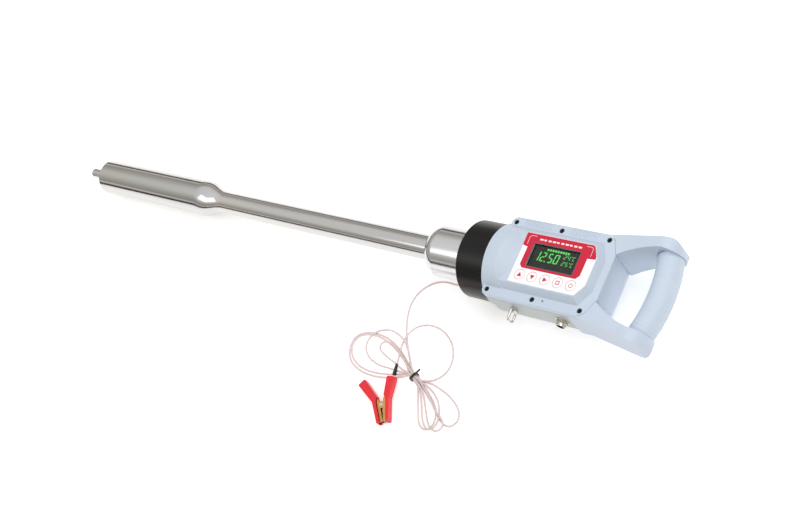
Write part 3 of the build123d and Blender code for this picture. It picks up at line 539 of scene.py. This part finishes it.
def tapered(name, start, end, r0, r1, grooves, mat):
    """A tapered sleeve with grooves round it."""
    count = 61
    radii = []
    for i in range(count):
        t = i / (count - 1)
        dip = 0.16 * (0.5 - 0.5 * cos(2 * pi * grooves * t)) * min(1.0, 8 * t, 8 * (1 - t))
        radii.append(r0 + (r1 - r0) * t - dip)
    radii[0] *= 0.86
    radii[-1] *= 0.9
    return revolve(name, along(start, end, count), radii, mat, 32)


label_prints()
display_figures()
key_marks()
grip_skin()
tie = tie_band()
tapered("lead_strain_relief", on_floor(-4.0, -25.71, 17.1), on_floor(-17.0, -25.71, 16.69), 2.9, 1.5, 5,
        MATERIALS["tie_black"])
sleeve_dir = (on_floor(-75, -145, 6.4) - on_floor(-78.6, -132, 5.2)).normalized()
sleeve_at = on_floor(-75, -145, 6.4)
sleeve = tapered("clip_sleeve", sleeve_at - sleeve_dir * 0.001, sleeve_at + sleeve_dir * 0.014, 1.75, 2.7, 5,
                 MATERIALS["tie_black"])
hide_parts("lead_sleeve")

lead = make_cord("ground_lead_cord", lead_points(), LEAD_D * MM)
finish_piece(lead, MATERIALS["lead_jacket"])
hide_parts("ground_lead", "ground_lead_end", "lead_hank")

# ------------------------------------------------------------ studio


def plain(name, color, rough=0.9):
    mat = bpy.data.materials.new(name)
    mat.use_nodes = True
    mat.node_tree.nodes["Principled BSDF"].inputs["Base Color"].default_value = (*color, 1)
    mat.node_tree.nodes["Principled BSDF"].inputs["Roughness"].default_value = rough
    return mat


def panel(name, corners, mat):
    mesh = bpy.data.meshes.new(name)
    mesh.from_pydata(corners, [], [(0, 1, 2, 3)])
    obj = bpy.data.objects.new(name, mesh)
    bpy.context.scene.collection.objects.link(obj)
    mesh.materials.append(mat)
    return obj


bpy.context.scene.view_settings.view_transform = "Standard"
world = bpy.data.worlds.new("studio")
bpy.context.scene.world = world
world.use_nodes = True
sky = world.node_tree.nodes["Background"]
sky.inputs["Strength"].default_value = 0.85
looking = world.node_tree.nodes.new("ShaderNodeTexCoord")
parts = world.node_tree.nodes.new("ShaderNodeSeparateXYZ")
bands = world.node_tree.nodes.new("ShaderNodeValToRGB")
world.node_tree.links.new(looking.outputs["Generated"], parts.inputs["Vector"])
world.node_tree.links.new(parts.outputs["Z"], bands.inputs["Fac"])
world.node_tree.links.new(bands.outputs["Color"], sky.inputs["Color"])
BANDS = (
    (0.0, (0.04, 0.04, 0.045)), (0.1, (0.03, 0.03, 0.035)), (0.15, (0.34, 0.17, 0.13)), (0.2, (1.1, 1.08, 1.05)),
    (0.3, (0.4, 0.39, 0.35)), (0.5, (0.62, 0.61, 0.55)), (0.64, (0.95, 0.94, 0.88)), (0.8, (1.0, 1.0, 0.99)),
    (1.0, (1.1, 1.1, 1.1)))
while len(bands.color_ramp.elements) < len(BANDS):
    bands.color_ramp.elements.new(0.5)
for stop, (place, color) in zip(bands.color_ramp.elements, BANDS):
    stop.position = place
for stop, (place, color) in zip(bands.color_ramp.elements, BANDS):
    stop.color = (*color, 1)
area("key", (1.1, 0.5, 1.6), (0.1, 0, 0), (1.6, 1.2), 14)
area("fill", (-0.6, -1.0, 1.8), (0.0, 0, 0), (1.4, 1.0), 6)
paper = plain("floor_white", (0.95, 0.95, 0.95))
paper.node_tree.nodes["Principled BSDF"].inputs["Emission Color"].default_value = (1, 1, 1, 1)
paper.node_tree.nodes["Principled BSDF"].inputs["Emission Strength"].default_value = 0.34
panel("floor", [(-6, -6, -0.0002), (6, -6, -0.0002), (6, 6, -0.0002), (-6, 6, -0.0002)], paper)
